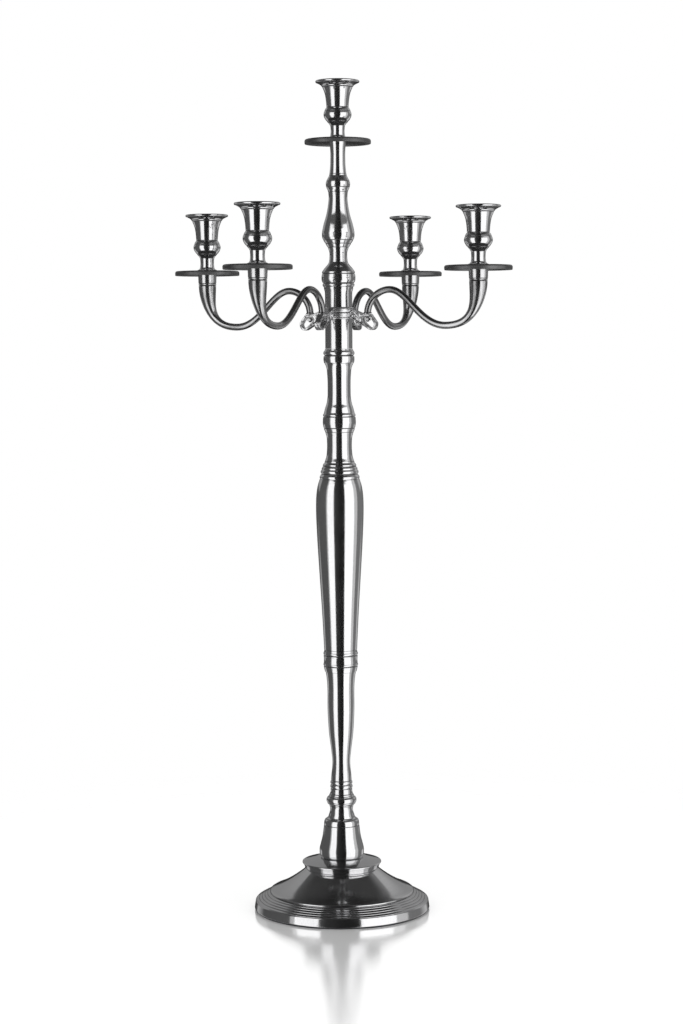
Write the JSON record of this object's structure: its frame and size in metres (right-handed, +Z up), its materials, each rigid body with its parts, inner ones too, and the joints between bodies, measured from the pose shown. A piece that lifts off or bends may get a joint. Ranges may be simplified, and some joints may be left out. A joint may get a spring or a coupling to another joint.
{
  "type": "candelabrum",
  "caption": "Tall polished-metal floor candelabrum with a turned column, a stepped round base, gooseneck arms on a hub ring, drip pans and candle cups that unscrew.",
  "frame": {"origin": "bottom centre of the base, on the underside of the felt ring", "axes": "+Z up along the column; one arm points to the front right, 29.3 degrees from +X towards -Y, and the others follow at quarter turns"},
  "size_m": [0.4032, 0.4032, 1],
  "materials": {
    "polished_base": "polished",
    "polished_column": "polished",
    "polished_casting": "polished",
    "polished_pan": "polished",
    "polished_cup": "polished",
    "steel_fastener": "satin",
    "felt": "matte"
  },
  "bodies": {
    "column": {"felt_ring": "felt", "base_foot": "polished_base", "rod_washer": "steel_fastener", "rod_nut": "steel_fastener", "base_plate": "polished_base", "column_foot": "polished_column", "foot_ring": "polished_column", "lower_vase": "polished_column", "belt_collar": "polished_column", "main_vase": "polished_column", "neck_collar": "polished_column", "lower_baluster": "polished_column", "ring_collar": "polished_column", "lower_sleeve": "polished_column", "tie_rod": "steel_fastener", "upper_sleeve": "polished_column", "crown_knob": "polished_column", "top_vase": "polished_column", "top_bead": "polished_column", "top_spindle": "polished_column", "drip_pan_5": "polished_pan"},
    "hub": {"hub_ring": "polished_casting"},
    "arm_1": {"arm_1": "polished_casting", "arm_nut_1": "steel_fastener", "ferrule_1": "polished_casting", "drip_pan_1": "polished_pan"},
    "stud_1": {"cup_stud_1": "steel_fastener"},
    "cup_1": {"candle_cup_1": "polished_cup"},
    "arm_2": {"arm_2": "polished_casting", "arm_nut_2": "steel_fastener", "ferrule_2": "polished_casting", "drip_pan_2": "polished_pan"},
    "stud_2": {"cup_stud_2": "steel_fastener"},
    "cup_2": {"candle_cup_2": "polished_cup"},
    "arm_3": {"arm_3": "polished_casting", "arm_nut_3": "steel_fastener", "ferrule_3": "polished_casting", "drip_pan_3": "polished_pan"},
    "stud_3": {"cup_stud_3": "steel_fastener"},
    "cup_3": {"candle_cup_3": "polished_cup"},
    "arm_4": {"arm_4": "polished_casting", "arm_nut_4": "steel_fastener", "ferrule_4": "polished_casting", "drip_pan_4": "polished_pan"},
    "stud_4": {"cup_stud_4": "steel_fastener"},
    "cup_4": {"candle_cup_4": "polished_cup"},
    "stud_5": {"cup_stud_5": "steel_fastener"},
    "cup_5": {"candle_cup_5": "polished_cup"}
  },
  "joints": [
    {"name": "hub_turn", "type": "hinge", "parent": "column", "child": "hub", "pos_m": [0, 0, 0.7228], "axis": [0, 0, 1], "continuous": true},
    {"name": "arm_1_swivel", "type": "hinge", "parent": "hub", "child": "arm_1", "pos_m": [0.03445, -0.01933, 0.7228], "axis": [0, 0, 1], "range_deg": [-25, 25]},
    {"name": "stud_1_rise", "type": "slide", "parent": "arm_1", "child": "stud_1", "axis": [0, 0, 1], "range_m": [0, 0.008]},
    {"name": "cup_1_unscrew", "type": "hinge", "parent": "stud_1", "child": "cup_1", "pos_m": [0.1622, -0.09102, 0.7747], "axis": [0, 0, 1], "range_deg": [0, 2880]},
    {"name": "arm_2_swivel", "type": "hinge", "parent": "hub", "child": "arm_2", "pos_m": [0.01933, 0.03445, 0.7228], "axis": [0, 0, 1], "range_deg": [-25, 25]},
    {"name": "stud_2_rise", "type": "slide", "parent": "arm_2", "child": "stud_2", "axis": [0, 0, 1], "range_m": [0, 0.008]},
    {"name": "cup_2_unscrew", "type": "hinge", "parent": "stud_2", "child": "cup_2", "pos_m": [0.09102, 0.1622, 0.7747], "axis": [0, 0, 1], "range_deg": [0, 2880]},
    {"name": "arm_3_swivel", "type": "hinge", "parent": "hub", "child": "arm_3", "pos_m": [-0.03445, 0.01933, 0.7228], "axis": [0, 0, 1], "range_deg": [-25, 25]},
    {"name": "stud_3_rise", "type": "slide", "parent": "arm_3", "child": "stud_3", "axis": [0, 0, 1], "range_m": [0, 0.008]},
    {"name": "cup_3_unscrew", "type": "hinge", "parent": "stud_3", "child": "cup_3", "pos_m": [-0.1622, 0.09102, 0.7747], "axis": [0, 0, 1], "range_deg": [0, 2880]},
    {"name": "arm_4_swivel", "type": "hinge", "parent": "hub", "child": "arm_4", "pos_m": [-0.01933, -0.03445, 0.7228], "axis": [0, 0, 1], "range_deg": [-25, 25]},
    {"name": "stud_4_rise", "type": "slide", "parent": "arm_4", "child": "stud_4", "axis": [0, 0, 1], "range_m": [0, 0.008]},
    {"name": "cup_4_unscrew", "type": "hinge", "parent": "stud_4", "child": "cup_4", "pos_m": [-0.09102, -0.1622, 0.7747], "axis": [0, 0, 1], "range_deg": [0, 2880]},
    {"name": "stud_5_rise", "type": "slide", "parent": "column", "child": "stud_5", "axis": [0, 0, 1], "range_m": [0, 0.008]},
    {"name": "cup_5_unscrew", "type": "hinge", "parent": "stud_5", "child": "cup_5", "pos_m": [0, 0, 0.9277], "axis": [0, 0, 1], "range_deg": [0, 2880]}
  ],
  "couplings": [
    {"joint": "cup_1_unscrew", "follows": "stud_1_rise", "rad_per_m": 6283.2},
    {"joint": "cup_2_unscrew", "follows": "stud_2_rise", "rad_per_m": 6283.2},
    {"joint": "cup_3_unscrew", "follows": "stud_3_rise", "rad_per_m": 6283.2},
    {"joint": "cup_4_unscrew", "follows": "stud_4_rise", "rad_per_m": 6283.2},
    {"joint": "cup_5_unscrew", "follows": "stud_5_rise", "rad_per_m": 6283.2}
  ]
}
